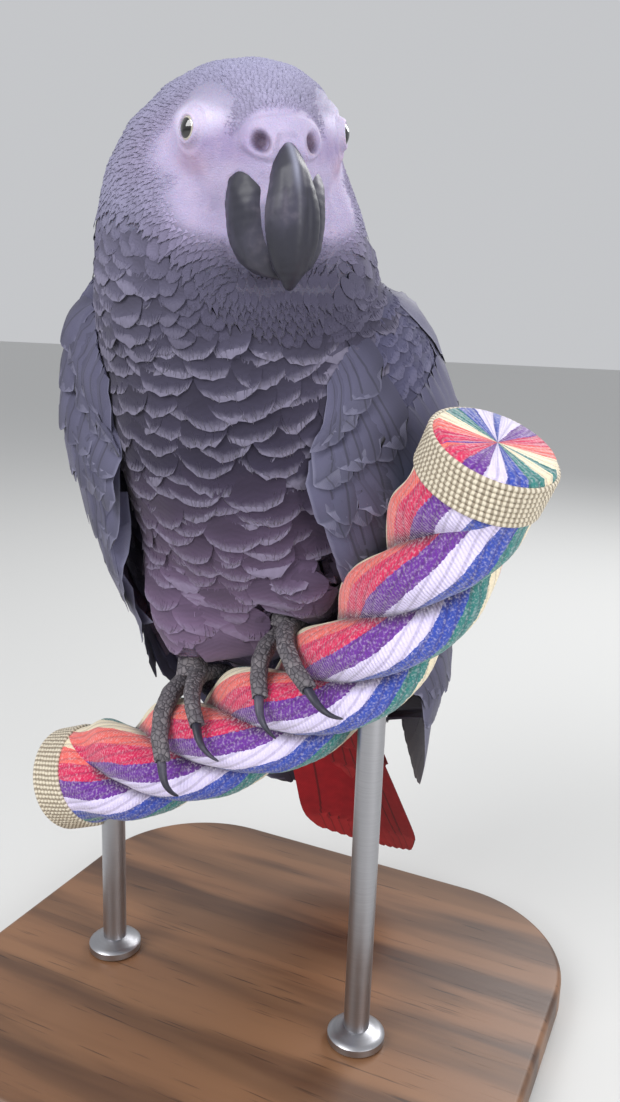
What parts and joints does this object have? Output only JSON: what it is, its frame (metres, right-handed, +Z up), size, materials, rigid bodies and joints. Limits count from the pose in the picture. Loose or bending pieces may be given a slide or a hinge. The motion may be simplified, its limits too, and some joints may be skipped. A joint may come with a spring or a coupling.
{
  "type": "grey parrot on a rope perch",
  "caption": "Life-size still model of a grey parrot standing upright with its head turned to its left, on a cut length of twisted rope held by a plain display stand.",
  "frame": {"origin": "centre of the underside of the stand's base", "axes": "+Z up; the bird's chest faces -Y; the bird's left side is +X"},
  "size_m": [0.19, 0.17, 0.2952],
  "materials": {
    "plumage": "matte grey body feathers with paler edges",
    "face_plumage": "pale grey head feathers and bare whitish face skin",
    "flight_feathers": "dark slate feathers with a faint sheen",
    "tail_feathers": "scarlet feathers",
    "bill_horn": "black horn, worn glossy",
    "scaly_skin": "grey scaled skin",
    "eye": "wet, pale iris and black pupil",
    "rope_cotton": "soft cotton yarn in many colours",
    "stand_wood": "oiled brown wood",
    "stand_steel": "brushed"
  },
  "bodies": {
    "root": {"bill_lower": "bill_horn", "bill_upper": "bill_horn", "claw_left_inner_back": "bill_horn", "claw_left_inner_front": "bill_horn", "claw_left_outer_back": "bill_horn", "claw_left_outer_front": "bill_horn", "claw_right_inner_back": "bill_horn", "claw_right_inner_front": "bill_horn", "claw_right_outer_back": "bill_horn", "claw_right_outer_front": "bill_horn", "eye_left": "eye", "eye_right": "eye", "foot_left": "scaly_skin", "foot_right": "scaly_skin", "head": "face_plumage", "neck": "plumage", "perch_rope": "rope_cotton", "primaries_left": "flight_feathers", "primaries_right": "flight_feathers", "stand_base": "stand_wood", "stand_rod_left": "stand_steel", "stand_rod_right": "stand_steel", "tail": "tail_feathers", "thigh_left": "plumage", "thigh_right": "plumage", "trunk": "plumage", "wing_left": "plumage", "wing_right": "plumage"}
  },
  "joints": []
}
